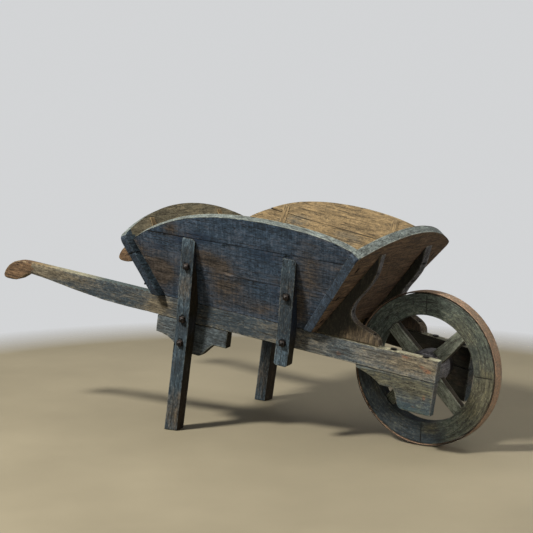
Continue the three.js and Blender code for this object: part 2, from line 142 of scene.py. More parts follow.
def add_world(colour, fill, backdrop):
    """An even sky: its strength is fill where it lights the scene, and backdrop where it shows."""
    world = bpy.data.worlds.new("studio")
    world.use_nodes = True
    nodes, links = world.node_tree.nodes, world.node_tree.links
    background = nodes["Background"]
    background.inputs["Color"].default_value = (*colour, 1)
    strength = nodes.new("ShaderNodeMapRange")
    strength.inputs["To Min"].default_value = fill
    strength.inputs["To Max"].default_value = backdrop
    links.new(nodes.new("ShaderNodeLightPath").outputs["Is Camera Ray"], strength.inputs["Value"])
    links.new(strength.outputs["Result"], background.inputs["Strength"])
    bpy.context.scene.world = world
    bpy.context.scene.view_settings.view_transform = "Standard"


# ---- Material graphs ----

SPECULAR = 0.25
BUMP_STRENGTH = 0.75
WOOD_RELIEF, IRON_RELIEF, FLOOR_RELIEF = 0.0012, 0.0008, 0.001  # depth of the bump


class Graph:
    """A material's nodes. Its patterns are laid out in the piece's own grain coordinates."""

    def __init__(self, name):
        self.material = bpy.data.materials.new(name)
        self.material.use_nodes = True
        self.nodes = self.material.node_tree.nodes
        self.links = self.material.node_tree.links
        self.shader = self.nodes["Principled BSDF"]
        self.shader.inputs["Specular IOR Level"].default_value = SPECULAR
        self.grain = self.attribute("grain", "Vector")

    def feed(self, socket, value):
        if isinstance(value, bpy.types.NodeSocket):
            self.links.new(value, socket)
        else:
            socket.default_value = value

    def add(self, kind, sockets, **settings):
        node = self.nodes.new(kind)
        for key, value in settings.items():
            setattr(node, key, value)
        for key, value in sockets.items():
            self.feed(node.inputs[key], value)
        return node

    def attribute(self, name, output="Fac"):
        return self.add("ShaderNodeAttribute", {}, attribute_name=name).outputs[output]

    def noise(self, scale, detail=4.0, roughness=0.6, shift=0.0, distortion=0.0):
        """Noise whose scale is given along, across and through the grain, per metre."""
        sockets = {"Vector": self.grain, "Scale": scale, "Location": (shift, shift, shift)}
        vector = self.add("ShaderNodeMapping", sockets).outputs["Vector"]
        sockets = {"Vector": vector, "Scale": 1.0, "Detail": detail}
        sockets.update({"Roughness": roughness, "Distortion": distortion})
        return self.add("ShaderNodeTexNoise", sockets).outputs["Fac"]

    def maths(self, operation, first, second):
        return self.add("ShaderNodeMath", {0: first, 1: second}, operation=operation).outputs[0]

    def weighted(self, *terms):
        """The sum of socket times weight."""
        total = None
        for socket, weight in terms:
            part = self.maths("MULTIPLY", socket, weight)
            total = part if total is None else self.maths("ADD", total, part)
        return total

    def ramp(self, factor, *stops):
        node = self.add("ShaderNodeValToRGB", {"Fac": factor})
        elements = node.color_ramp.elements
        while len(elements) < len(stops):
            elements.new(0.5)
        for element, (position, colour) in zip(elements, stops):
            element.position = position
            element.color = (*colour, 1) if isinstance(colour, tuple) else (colour,) * 3 + (1,)
        return node.outputs["Color"]

    def step(self, factor, low, high, top=1.0):
        """From 0 below low to top above high."""
        sockets = {"Value": factor, "From Min": low, "From Max": high, "To Min": 0.0, "To Max": top}
        return self.add("ShaderNodeMapRange", sockets).outputs["Result"]

    def mix(self, factor, first, second, blend="MIX"):
        node = self.nodes.new("ShaderNodeMix")
        node.data_type = "RGBA"
        node.blend_type = blend
        self.feed(node.inputs[0], factor)
        for index, value in ((6, first), (7, second)):
            self.feed(node.inputs[index], (*value, 1) if isinstance(value, tuple) else value)
        return node.outputs[2]

    def finish(self, colour, roughness, height, depth, metallic=None):
        self.feed(self.shader.inputs["Base Color"], colour)
        self.feed(self.shader.inputs["Roughness"], roughness)
        if metallic is not None:
            self.feed(self.shader.inputs["Metallic"], metallic)
        sockets = {"Height": height, "Strength": BUMP_STRENGTH, "Distance": depth}
        bump = self.add("ShaderNodeBump", sockets)
        self.feed(self.shader.inputs["Normal"], bump.outputs["Normal"])
        return self.material


GRAINWISE = (16, 80, 80)  # brush marks along the grain, per metre
CROSSWISE = (150, 11, 11)
STAIN = (0.165, 0.062, 0.027)


def worn_wood(name, paint, wood, cover, edge, patch, *, brush=GRAINWISE, flecks=0.7):
    """Old paint over wood.

    paint and wood are dark, middle and light colours, cover is how much paint is left, edge is
    the colour of rubbed edges, patch that of fresher paint, brush the scale of the brush marks,
    and flecks how strongly the rusty stains show.
    """
    graph = Graph(name)
    wear, bare = graph.attribute("wear"), graph.attribute("bare")
    fresh, stain = graph.attribute("fresh"), graph.attribute("stain")
    grime = graph.attribute("grime")
    blotch = graph.noise((7, 9, 9), 6, 0.64)
    mottle = graph.noise((60, 85, 85), 6, 0.76, shift=11)
    fibre = graph.noise((11, 130, 130), 7, 0.74, shift=3, distortion=0.3)
    fine = graph.noise((75, 260, 260), 4, 0.75, shift=7)
    strokes = graph.noise(brush, 6, 0.74, shift=5)
    specks = graph.noise((150, 220, 220), 3, 0.6, shift=2)
    splits = graph.noise((3.5, 110, 110), 3, 0.5, shift=17)

    timber = graph.weighted((fibre, 0.34), (fine, 0.22), (mottle, 0.26), (strokes, 0.18))
    wood_colour = graph.ramp(timber, (0.42, wood[0]), (0.5, wood[1]), (0.58, wood[2]))
    coat = graph.weighted((blotch, 0.20), (mottle, 0.30), (strokes, 0.26), (fine, 0.24))
    paint_colour = graph.ramp(coat, (0.43, paint[0]), (0.5, paint[1]), (0.57, paint[2]))
    fresh_mask = graph.weighted((fresh, 0.6), (mottle, 0.5), (blotch, 0.3), (strokes, 0.25))
    covered = graph.mix(graph.step(coat, 0.56, 0.44, 0.75), patch, tuple(0.4 * v for v in patch))
    paint_colour = graph.mix(graph.step(fresh_mask, 0.66, 0.92, 0.9), paint_colour, covered)

    loss = graph.weighted(
        (blotch, 0.38), (mottle, 0.28), (fibre, 0.16), (strokes, 0.18), (bare, 0.32)
    )
    loss = graph.maths("ADD", loss, 0.5 - cover)
    peeled = graph.step(loss, 0.42, 0.58, 0.92)
    colour = graph.mix(peeled, paint_colour, wood_colour)
    stained = graph.weighted((stain, 0.5), (mottle, 0.6), (fine, 0.3))
    colour = graph.mix(graph.step(stained, 0.72, 0.95, flecks), colour, STAIN)

    rubbed = graph.weighted((wear, 0.75), (mottle, 1.0), (fine, 0.4))
    colour = graph.mix(graph.step(rubbed, 1.08, 1.42, 0.85), colour, edge)
    colour = graph.mix(graph.step(fine, 0.56, 0.70, 0.5), colour, edge)
    pits = graph.step(graph.weighted((specks, 0.55), (fibre, 0.45)), 0.46, 0.38, 0.85)
    shade = tuple(0.3 * value for value in wood[0])
    colour = graph.mix(pits, colour, shade)
    split = graph.maths("ABSOLUTE", graph.maths("SUBTRACT", splits, 0.5), 0.0)
    colour = graph.mix(graph.step(split, 0.020, 0.004, 0.85), colour, shade)

    grimy = graph.weighted((grime, 1.0), (mottle, 0.4))
    colour = graph.mix(graph.step(grimy, 0.78, 1.02, 0.9), colour, shade)

    roughness = graph.weighted((mottle, 0.3), (fibre, 0.25))
    roughness = graph.maths("ADD", roughness, 0.46)
    height = graph.weighted((fibre, 0.5), (fine, 0.35), (mottle, 0.45), (loss, -0.4))
    height = graph.maths("ADD", height, graph.step(split, 0.0, 0.016, 0.35))
    return graph.finish(colour, roughness, height, WOOD_RELIEF)


def worn_iron(name, dark, middle, rust, rust_amount, rubbed=0.6, bright=0.8):
    """Iron of dark to middle colour under rust. rust_amount is how much of it is rusty, rubbed
    how strongly worn edges shine, and bright how metallic the iron without rust is."""
    graph = Graph(name)
    wear = graph.attribute("wear")
    blotch = graph.noise((14, 40, 40), 6, 0.65)
    grit = graph.noise((170, 220, 220), 5, 0.7, shift=4)
    scrape = graph.noise((12, 300, 300), 4, 0.6, shift=9)
    tone = graph.weighted((blotch, 0.4), (grit, 0.35), (scrape, 0.25))
    metal = graph.ramp(tone, (0.41, dark), (0.57, middle))
    scale = graph.ramp(grit, (0.41, tuple(0.35 * value for value in rust)), (0.58, rust))
    rusty = graph.weighted((blotch, 0.5), (grit, 0.5))
    rusty = graph.maths("ADD", rusty, rust_amount - 0.5)
    mask = graph.step(rusty, 0.42, 0.56)
    colour = graph.mix(mask, metal, scale)
    shine = graph.step(graph.weighted((wear, 0.8), (scrape, 0.5)), 0.75, 1.05, rubbed)
    colour = graph.mix(shine, colour, tuple(min(1, 2.2 * value) for value in rust))
    roughness = graph.maths("ADD", graph.weighted((mask, 0.3), (grit, 0.2)), 0.4)
    metallic = graph.step(rusty, 0.56, 0.42, bright)
    height = graph.weighted((grit, 0.6), (blotch, 0.4))
    return graph.finish(colour, roughness, height, IRON_RELIEF, metallic)


def tones(colour, spread=2.1):
    """Dark, middle and light tones of a colour."""
    dark = tuple(value / spread for value in colour)
    light = tuple(value * spread for value in colour)
    return dark, colour, light


# Paints
NAVY = tones((0.028, 0.049, 0.079), 2.5)
SLATE = tones((0.036, 0.056, 0.073), 2.4)
DEEP = tones((0.018, 0.028, 0.042), 2.2)
ASH = tones((0.054, 0.068, 0.076), 2.2)
EDGE_BLUE = tones((0.112, 0.130, 0.122), 1.9)
SAGE = tones((0.044, 0.054, 0.044), 2.3)
FROST = tones((0.085, 0.092, 0.070), 2.0)
OLIVE = tones((0.024, 0.021, 0.012))
CREAM = tones((0.230, 0.225, 0.160), 1.7)

# Woods, clean and dirty
TAN = tones((0.165, 0.115, 0.056), 1.8)
STRAW = tones((0.172, 0.152, 0.098), 1.9)
OCHRE = tones((0.098, 0.057, 0.029), 2.0)
HONEY = tones((0.096, 0.078, 0.050), 2.2)
CHESTNUT = tones((0.100, 0.064, 0.038), 2.3)
BROWN = tones((0.075, 0.055, 0.033), 2.2)
MOSS = tones((0.056, 0.051, 0.030), 2.2)
RUSSET = tones((0.050, 0.037, 0.026), 2.2)
UMBER = tones((0.022, 0.014, 0.008), 2.2)
# Near-black painted shade, for faces that lie in shadow
PAINTED_SHADE_TONES = tones((0.011, 0.010, 0.006), 2.0)
MAUVE = tones((0.062, 0.056, 0.060), 2.0)
PEWTER = tones((0.082, 0.080, 0.084), 2.0)

# Fresher patches of paint
BLUE = (0.018, 0.040, 0.080)
HAZE = (0.034, 0.050, 0.064)
DUSK = (0.020, 0.030, 0.040)
TEAL = (0.040, 0.072, 0.085)
# Near-black painted shade, for patches on faces that lie in shadow
PAINTED_SHADE_PATCH = (0.010, 0.009, 0.004)

looks = {
    "panel": worn_wood(
        "panel_paint", NAVY, RUSSET, 0.565, (0.065, 0.078, 0.080), BLUE, brush=CROSSWISE
    ),
    "post": worn_wood("post_paint", SLATE, BROWN, 0.60, (0.17, 0.19, 0.175), DUSK),
    "post_side": worn_wood("post_side_paint", OLIVE, UMBER, 0.52, (0.07, 0.065, 0.045), BLUE),
    "shaft": worn_wood("shaft_paint", ASH, HONEY, 0.56, (0.19, 0.18, 0.14), HAZE),
    "shaft_top": worn_wood("shaft_top_paint", CREAM, TAN, 0.62, (0.42, 0.40, 0.29), TEAL),
    # Painted shade: faces in shadow, such as the inner faces beside the wheel, are near-black
    "shadowed": worn_wood("painted_shade_inner", PAINTED_SHADE_TONES, UMBER, 0.66, (0.04, 0.04, 0.03), PAINTED_SHADE_PATCH, flecks=0.1),
    "end_grain": worn_wood("end_grain_wood", ASH, BROWN, 0.60, (0.20, 0.20, 0.18), TEAL),
    "block": worn_wood("block_paint", SLATE, MOSS, 0.53, (0.15, 0.145, 0.10), TEAL),
    "spoke": worn_wood("spoke_paint", FROST, BROWN, 0.64, (0.20, 0.20, 0.16), DUSK),
    "bracket": worn_wood("bracket_paint", ASH, BROWN, 0.58, (0.15, 0.16, 0.14), BLUE),
    # Painted shade: a scroll bracket's near face is near-black for the shadow under the front panel
    "scroll": worn_wood("scroll_painted_shade", PAINTED_SHADE_TONES, BROWN, 0.80, (0.08, 0.065, 0.04), PAINTED_SHADE_PATCH),
    "scroll_edge": worn_wood("scroll_edge_paint", PEWTER, BROWN, 0.62, (0.27, 0.25, 0.21), DUSK),
    "front": worn_wood("front_panel_wood", MAUVE, CHESTNUT, 0.40, (0.15, 0.11, 0.07), DUSK),
    "edge": worn_wood("edge_paint", EDGE_BLUE, BROWN, 0.68, (0.32, 0.33, 0.27), TEAL),
    "strip": worn_wood("strip_paint", DEEP, RUSSET, 0.64, (0.080, 0.098, 0.112), BLUE),
    "outlying": worn_wood("outlying_paint", SLATE, UMBER, 0.62, (0.10, 0.115, 0.11), TEAL),
    "grip": worn_wood("grip_wood", HONEY, OCHRE, 0.30, (0.19, 0.15, 0.09), HAZE),
    "inside": worn_wood("inside_wood", TAN, TAN, 0.5, (0.30, 0.23, 0.13), TEAL),
    "rear_inside": worn_wood("rear_inside_wood", STRAW, TAN, 0.58, (0.24, 0.215, 0.15), TEAL),
    "hub": worn_wood("hub_wood", PEWTER, BROWN, 0.60, (0.20, 0.19, 0.19), DUSK),
    "wheel": worn_wood("wheel_paint", SAGE, MOSS, 0.58, (0.15, 0.15, 0.12), DUSK),
    "tyre": worn_iron(
        "tyre_iron", (0.085, 0.065, 0.050), (0.36, 0.30, 0.20), (0.30, 0.19, 0.12), 0.54,
        rubbed=0.5, bright=0.3,
    ),
    # The tyre's flanks: dark rusty iron, darkened further as painted shade for the gap beside the
    # rim
    "tyre_side": worn_iron(
        "tyre_side_iron", (0.010, 0.009, 0.008), (0.04, 0.033, 0.025), (0.05, 0.034, 0.023), 0.46,
        rubbed=0.15,
    ),
    "nail": worn_iron(
        "nail_iron", (0.002, 0.002, 0.002), (0.007, 0.006, 0.006), (0.010, 0.007, 0.006), 0.34,
        rubbed=0.1,
    ),
    "iron": worn_iron(
        "bolt_iron", (0.010, 0.009, 0.009), (0.034, 0.031, 0.029), (0.065, 0.042, 0.033), 0.38
    ),
}

# ---- Weathered pieces ----

FLAT = radians(0.6)  # faces that meet at less are made one
SHORT = 0.007  # shorter edges belong to bolt holes and stay as they are
ROUND = 0.85  # edges that turn more than this, in radians, are rounded
CORNER = 0.45  # edges that turn more than this, in radians, are rubbed or dirty
SAMPLE = 0.004  # distance between the points that stand for an edge
JOINT = 0.0012  # rounding of the edges along a seam
SHARP = radians(42)  # edges that turn more are shaded sharp
RUB_WIDTH = 0.0035  # how far rubbing reaches from an open edge
GRIME_WIDTH = 0.0028  # how far dirt reaches from a seam
SWELL = 0.0004  # mean depth of the long hollows of an old surface
NICKS, NICK_FROM = 2.2, 0.25  # depth of nicks against dents, and the noise that starts one
FAR_OFF = Vector((9, 9, 9))  # stands for the edges of a piece that has none
FACING = 0.6  # least part of a normal along an axis for a face that looks along it
LEVEL = 0.9  # the same for a face that looks straight up or down
seeds = iter(range(1, 1000))  # one for each piece, in the order in which they are made


def opened(node, place):
    """The node's mesh in its own directions, with each flat face in one piece."""
    mesh = bmesh.new()
    mesh.from_mesh(frame["nodes"][node].data)
    bmesh.ops.remove_doubles(mesh, verts=mesh.verts[:], dist=1e-5)
    mesh.transform(place.inverted())
    if place.determinant() < 0:
        bmesh.ops.reverse_faces(mesh, faces=mesh.faces[:])
    bmesh.ops.dissolve_limit(mesh, angle_limit=FLAT, verts=mesh.verts[:], edges=mesh.edges[:])
    mesh.normal_update()
    return mesh


def convex_edges(mesh, turn, seam):
    """Edges that turn more than turn, away from bolt holes: open ones, and ones along a seam."""
    free, shut = [], []
    for edge in mesh.edges:
        if len(edge.link_faces) != 2 or not edge.is_convex or edge.calc_length() < SHORT:
            continue
        if edge.calc_face_angle() > turn:
            (shut if seam(edge) else free).append(edge)
    return free, shut


def edge_tree(edges):
    points = []
    for edge in edges:
        start, end = (vert.co.copy() for vert in edge.verts)
        count = max(1, int((end - start).length / SAMPLE))
        points += [start.lerp(end, step / count) for step in range(count + 1)]
    tree = KDTree(max(1, len(points)))
    for index, point in enumerate(points or [FAR_OFF]):
        tree.insert(point, index)
    tree.balance()
    return tree


def rounded(mesh, edges, width):
    if edges and width:
        bmesh.ops.bevel(
            mesh, geom=edges, offset=width, offset_type="OFFSET", segments=2,
            profile=0.5, affect="EDGES", clamp_overlap=True,
        )


def gridded(mesh, steps):
    """Cuts every face across each axis that has a step."""
    for axis, step in enumerate(steps):
        if not step:
            continue
        places = [vert.co[axis] for vert in mesh.verts]
        low, high = min(places), max(places)
        count = int((high - low) / step)
        for index in range(count):
            point, normal = Vector(), Vector()
            point[axis] = low + (index + 1) * (high - low) / (count + 1)
            normal[axis] = 1
            geometry = mesh.verts[:] + mesh.edges[:] + mesh.faces[:]
            bmesh.ops.bisect_plane(mesh, geom=geometry, dist=1e-6, plane_co=point, plane_no=normal)


def spot(point, patches):
    """How strongly a place is marked by patches.

    A patch is its place along and across the grain, its half length, half width and weight.
    """
    total = 0
    for along, across, length, width, weight in patches:
        reach = ((point.x - along) / length) ** 2 + ((point.y - across) / width) ** 2
        total += weight * math.exp(-reach)
    return total


def weathered(mesh, order, tree, seams, seed, chip, bare=(), fresh=(), stain=()):
    """Wears the surface inwards, and writes down each vertex's place in the grain and its marks.

    order lists the axes along, across and through the grain. Open edges, in tree, are rubbed and
    nicked, and the edges in seams are dirty.
    """
    layers = mesh.verts.layers
    grain = layers.float_vector.new("grain")
    wear, grime = layers.float.new("wear"), layers.float.new("grime")
    marks = [
        (layers.float.new(name), spots)
        for name, spots in (("bare", bare), ("fresh", fresh), ("stain", stain))
    ]
    mesh.normal_update()
    shift = Vector((seed * 1.37, seed * 0.71, seed * 0.29))
    moves = []
    for vert in mesh.verts:
        place = Vector([vert.co[axis] for axis in order])
        near = math.exp(-tree.find(vert.co)[2] / RUB_WIDTH)
        swell = noise.noise(Vector((place.x * 5, place.y * 24, place.z * 24)) + shift)
        dent = noise.noise(Vector((place.x * 34, place.y * 50, place.z * 50)) + shift)
        nick = noise.noise(Vector((place.x * 9, place.y * 14, place.z * 14)) - shift)
        damage = max(0, dent) + NICKS * max(0, nick - NICK_FROM)
        depth = SWELL * (1 + swell) + chip * near * damage
        moves.append((vert, vert.normal * -depth))
        vert[grain] = place + shift
        vert[wear] = near
        vert[grime] = math.exp(-seams.find(vert.co)[2] / GRIME_WIDTH)
        for layer, spots in marks:
            vert[layer] = spot(place, spots)
    for vert, move in moves:
        vert.co += move


def made_object(mesh, name, place, look, choose):
    """Turns the finished mesh into an object in the frame's directions, with its materials.

    look names one look, or lists those that choose picks from by a face's normal and centre.
    """
    names = look if isinstance(look, list) else [look]
    for face in mesh.faces:
        face.smooth = True
        if choose:
            face.material_index = names.index(choose(face.normal, face.calc_center_median()))
    mesh.transform(place)
    if place.determinant() < 0:
        bmesh.ops.reverse_faces(mesh, faces=mesh.faces[:])
    data = bpy.data.meshes.new(name)
    mesh.to_mesh(data)
    mesh.free()
    data.set_sharp_from_angle(angle=SHARP)
    for entry in names:
        data.materials.append(looks[entry])
    piece = bpy.data.objects.new(name, data)
    bpy.context.scene.collection.objects.link(piece)
    return piece


def no_seam(edge):
    return False


def facing(edge, axis, least):
    """Whether one of the edge's faces looks along an axis by least, or against it if negative."""
    sign = math.copysign(1, least)
    return any(face.normal[axis] * sign > abs(least) for face in edge.link_faces)


def edge_middle(edge):
    return (edge.verts[0].co + edge.verts[1].co) / 2


def board_seam(row):
    """The edges along a board's joints: its underside, and its upper side unless it is the top."""
    def seam(edge):
        return facing(edge, 2, -LEVEL) or (row != "top" and facing(edge, 2, LEVEL))
    return seam


# Places along a shaft, measured from the axle
GRIP_FRONT = -1.365
TRAY_REAR, TRAY_FRONT = -0.88, -0.28
BRACKET_REAR, BRACKET_FRONT = -0.87, -0.60
# From here forward a shaft's inner face is painted in shade
SHADOW_REAR = -0.345
BLOCK_REAR = -0.16
NEAR_FACE = 0.004  # an edge this near to the shaft's underside lies along it


def shaft_seam(edge):
    """Where the bearing block, the leg bracket and the tray lie on a shaft."""
    x, _, z = edge_middle(edge)
    under = z < NEAR_FACE and (x > BLOCK_REAR or BRACKET_REAR < x < BRACKET_FRONT)
    return under or (z > SHAFT_DEPTH - 0.007 and TRAY_REAR < x < TRAY_FRONT)


def block_seam(edge):
    return edge_middle(edge).z > -NEAR_FACE


def felloe_seam(edge):
    """The ends of a felloe are its only many-sided faces."""
    return any(len(face.verts) > 8 for face in edge.link_faces)


def worn(mesh, name, place, order, look, *, choose=None, bevel=0.0, steps=None, chip=0.0009,
         seam=no_seam, **marks):
    """Rounds, grids and weathers a mesh that is drawn in the directions of place."""
    free, shut = convex_edges(mesh, ROUND, seam)
    tree, seams = (edge_tree(edges) for edges in convex_edges(mesh, CORNER, seam))
    rounded(mesh, free, bevel)
    shut = [edge for edge in shut if edge.is_valid]
    rounded(mesh, shut, JOINT)
    if steps:
        gridded(mesh, steps)
    weathered(mesh, order, tree, seams, next(seeds), chip, **marks)
    return made_object(mesh, name, place, look, choose)


def stand_in(piece, node):
    """Makes the piece replace the node and move with the node's body."""
    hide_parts(node)
    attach(piece, frame["nodes"][node]["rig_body"])


def worn_node(node, place, order, look, **options):
    stand_in(worn(opened(node, place), f"{node}_worn", place, order, look, **options), node)


# ---- Shafts, brackets and posts ----

# The axes along, across and through the grain
ALONG_X = (0, 2, 1)
ALONG_Z = (2, 0, 1)
ALONG_Y = (1, 2, 0)
LYING_ALONG_X = (0, 1, 2)

# Worn, painted and stained patches: along and across the grain, half length, half width, weight
SHAFT_BARE = [
    (-1.46, 0.03, 0.11, 0.09, 1.5), (-0.86, 0.025, 0.045, 0.03, 0.6),
    (-0.33, 0.03, 0.09, 0.05, 0.3), (0.02, 0.04, 0.12, 0.03, 0.5), (-1.27, 0.05, 0.12, 0.02, 0.6),
]
SHAFT_FRESH = [
    (-0.99, 0.04, 0.13, 0.06, 1.3), (-0.57, 0.03, 0.20, 0.05, 1.0),
    (-1.17, 0.03, 0.08, 0.02, 0.9), (-0.76, 0.03, 0.06, 0.05, 0.8),
]
SHAFT_STAIN = [
    (0.073, 0.030, 0.018, 0.007, 1.3), (-0.005, 0.058, 0.020, 0.007, 1.2),
    (-0.215, 0.020, 0.016, 0.012, 0.9), (0.050, 0.040, 0.014, 0.007, 0.9),
]
POST_FRESH = [
    (0.22, -0.74, 0.04, 0.04, 0.9), (0.14, -0.39, 0.11, 0.05, 1.3),
    (0.0, -0.74, 0.05, 0.04, 0.7), (-0.14, -0.74, 0.05, 0.03, 0.6),
]


def shaft_face(normal, centre):
    """Bare at the grip, painted shade on the inner face beside the wheel, and not light on top
    where the tray lies.
    """
    if normal.x > FACING:
        return "end_grain"
    if centre.x < GRIP_FRONT + 0.05 * noise.noise(centre * 45):
        return "grip"
    if normal.y > FACING and centre.x > SHADOW_REAR:
        return "shadowed"
    if TRAY_REAR - 0.01 < centre.x < TRAY_FRONT + 0.01:
        return "inside" if normal.z > LEVEL else "shaft"
    return "shaft_top" if normal.z > 0.55 else "shaft"


def block_face(normal, centre):
    # Painted shade: the inner face, beside the wheel, is near-black
    if normal.y > FACING:
        return "shadowed"
    return "end_grain" if normal.x > FACING else "block"


def scroll_face(normal, centre):
    # Painted shade: the inner face, and the near face above its bare lower corner, are near-black;
    # the edges keep their paint
    if normal.y > FACING:
        return "shadowed"
    return "scroll" if normal.y < -FACING else "scroll_edge"


def flanks(broad, narrow):
    """A rule that gives one look to the faces across the barrow and another to the rest."""
    def face(normal, centre):
        return broad if abs(normal.y) > FACING else narrow
    return face


def build_side(side):
    place = side_place[side]
    worn_node(
        f"{side}_shaft", place, ALONG_X,
        ["shaft", "shaft_top", "end_grain", "inside", "shadowed", "grip"],
        choose=shaft_face, steps=(0.010, 0.010, 0.009), chip=0.0012, seam=shaft_seam,
        bare=SHAFT_BARE, fresh=SHAFT_FRESH, stain=SHAFT_STAIN,
    )
    worn_node(
        f"{side}_bearing_block", place, ALONG_X, ["block", "end_grain", "shadowed"],
        choose=block_face, steps=(0.009, 0.010, 0.009), seam=block_seam,
        bare=[(0.03, -0.03, 0.12, 0.03, 0.5)],
        fresh=[(0.03, -0.10, 0.09, 0.02, 1.1), (-0.10, -0.02, 0.04, 0.02, 0.7)],
        stain=[(0.072, -0.052, 0.010, 0.012, 1.0), (0.045, -0.085, 0.014, 0.008, 0.8)],
    )
    worn_node(
        f"{side}_leg_bracket", place, ALONG_X, ["bracket", "post_side"],
        choose=flanks("bracket", "post_side"), steps=(0.009, 0.010, 0.009), seam=block_seam,
    )
    worn_node(
        f"{side}_scroll_bracket", place, ALONG_Z, ["scroll", "scroll_edge", "shadowed"],
        choose=scroll_face, steps=(0.009, 0.010, 0.009), bare=[(0.07, -0.14, 0.05, 0.09, 1.9)],
    )
    for post in ("leg", "side_stake"):
        worn_node(
            f"{side}_{post}", place, ALONG_Z, ["post", "post_side"],
            choose=flanks("post", "post_side"), bevel=0.0028, steps=(0.008, 0.009, 0.010),
            chip=0.0016, fresh=POST_FRESH,
            bare=[(-0.28, -0.74, 0.08, 0.05, 0.4), (0.13, -0.74, 0.06, 0.03, 0.35)],
        )
    for name in frame["nodes"]:
        if name.startswith(side) and "bolt" in name:
            worn_node(name, place, ALONG_Y, "iron", bevel=0.0016, chip=0.0004)


# ---- Tray ----

PANEL_BARE = [
    (-0.86, 0.085, 0.060, 0.050, 0.9), (-0.93, 0.11, 0.03, 0.05, 0.35),
    (-0.67, 0.165, 0.07, 0.030, 0.5), (-0.62, 0.085, 0.07, 0.055, 0.45),
    (-0.32, 0.19, 0.05, 0.08, 0.45), (-0.97, 0.16, 0.03, 0.03, 0.5),
    (-0.50, 0.04, 0.06, 0.03, 0.3), (-0.81, 0.245, 0.025, 0.02, 0.6),
    (-0.20, 0.20, 0.05, 0.08, 0.4), (-0.36, 0.07, 0.03, 0.06, 0.5),
]
PANEL_FRESH = [
    (-0.76, 0.215, 0.05, 0.022, 0.9), (-0.70, 0.24, 0.05, 0.02, 0.8),
    (-0.86, 0.17, 0.04, 0.025, 0.5), (-0.48, 0.225, 0.08, 0.03, 0.6),
    (-0.44, 0.10, 0.03, 0.05, 0.5),
]
PANEL_STAIN = [(-0.88, 0.080, 0.045, 0.026, 0.5), (-0.94, 0.17, 0.02, 0.015, 0.4)]


def side_board_face(row):
    """A rule: light paint on the arched top edge, bare wood inside and dark paint elsewhere."""
    def face(normal, centre):
        if normal.y > FACING:
            return "inside"
        arched = row == "top" or (row == "middle" and abs(normal.x) > 0.15)
        return "edge" if arched and normal.z > 0.45 else "panel"
    return face


def build_side_panel(side):
    for row in ("low", "middle", "top"):
        worn_node(
            f"{side}_side_board_{row}", panel_place[side], ALONG_X, ["panel", "edge", "inside"],
            choose=side_board_face(row), bevel=0.003, steps=(0.012, 0.008, 0.010), chip=0.0012,
            seam=board_seam(row), bare=PANEL_BARE, fresh=PANEL_FRESH, stain=PANEL_STAIN,
        )


def beyond_tray(point):
    """Whether a point of the frame lies outside the middle of the side panels' thickness."""
    return any(
        (panel_place[side].inverted() @ point).y < SIDE_THICKNESS / 2 for side in SIDES
    )


def end_board_face(row, place, outward, outer_look, inner_look):
    """A rule for a board whose outer side looks along x if outward is 1, or against it if -1."""
    def face(normal, centre):
        if normal.x * outward > FACING:
            return outer_look
        if normal.x * outward < -FACING:
            return "outlying" if beyond_tray(place @ centre) else inner_look
        return "edge" if row == "top" and abs(normal.y) < 0.8 and normal.z > 0.2 else "strip"
    return face


def build_end_panel(name, place, outward, outer_look, inner_look):
    for row in ("low", "top"):
        worn_node(
            f"{name}_board_{row}", place, ALONG_Y,
            [outer_look, "edge", "strip", inner_look, "outlying"],
            choose=end_board_face(row, place, outward, outer_look, inner_look), bevel=0.003,
            steps=(0.008, 0.012, 0.010), chip=0.0014, seam=board_seam(row),
        )


def build_bed():
    for name in ("front", "middle", "rear"):
        worn_node(
            f"cross_rail_{name}", frame_place, ALONG_Y, "inside", bevel=0.002, steps=(0, 0.012, 0),
        )
    for name in ("right", "middle", "left"):
        worn_node(
            f"floor_board_{name}", frame_place, LYING_ALONG_X, "inside", bevel=0.0012,
            steps=(0.014, 0.012, 0), chip=0.0006,
        )


# ---- Wheel ----

FELLOES = 4
FELLOE_STEPS, TYRE_STEPS, HUB_STEPS = 44, 144, 64
FELLOE_GAP = 0.0014  # half of the gap between two felloes, in radians
RIM_OUTER, RIM_INNER, RIM_HALF = 0.2335, 0.167, 0.022
TYRE_DEPTH, TYRE_CROWN, CROWN_WIDTH = 0.005, 0.0006, 0.010
BAND_DEPTH = 0.0037
RIM_SHIFT = 3  # sets the rim's patterns apart from those of other pieces
# Marks: attribute, angle and half angle in degrees, radius, half width and weight
RIM_MARKS = [
    ("bare", -18, 26, 0.21, 0.06, 0.8), ("bare", -82, 9, 0.185, 0.02, 0.5),
    ("bare", 40, 30, 0.18, 0.03, 0.3), ("fresh", -142, 40, 0.20, 0.09, 1.2),
    ("fresh", -95, 26, 0.205, 0.06, 1.0), ("fresh", 8, 22, 0.19, 0.05, 0.45),
]


def subdivided(corners, step):
    """The closed outline with a point every step or so."""
    points = []
    for start, end in zip(corners, corners[1:] + corners[:1]):
        start, end = Vector(start), Vector(end)
        count = max(1, round((end - start).length / step))
        points += [start.lerp(end, index / count) for index in range(count)]
    return points


def revolved(section, start, end, steps):
    """A closed (radius, y) section turned about y from start to end, in radians."""
    mesh = bmesh.new()
    whole = math.isclose(end - start, math.tau)
    rings = []
    for index in range(steps if whole else steps + 1):
        angle = start + (end - start) * index / steps
        rings.append([
            mesh.verts.new((radius * math.cos(angle), y, -radius * math.sin(angle)))
            for radius, y in section
        ])
    if whole:
        rings.append(rings[0])
    for first, second in zip(rings, rings[1:]):
        for index in range(len(section)):
            after = (index + 1) % len(section)
            mesh.faces.new((first[index], first[after], second[after], second[index]))
    if not whole:
        mesh.faces.new(rings[0])
        mesh.faces.new(rings[-1][::-1])
    bmesh.ops.recalc_face_normals(mesh, faces=mesh.faces[:])
    return mesh


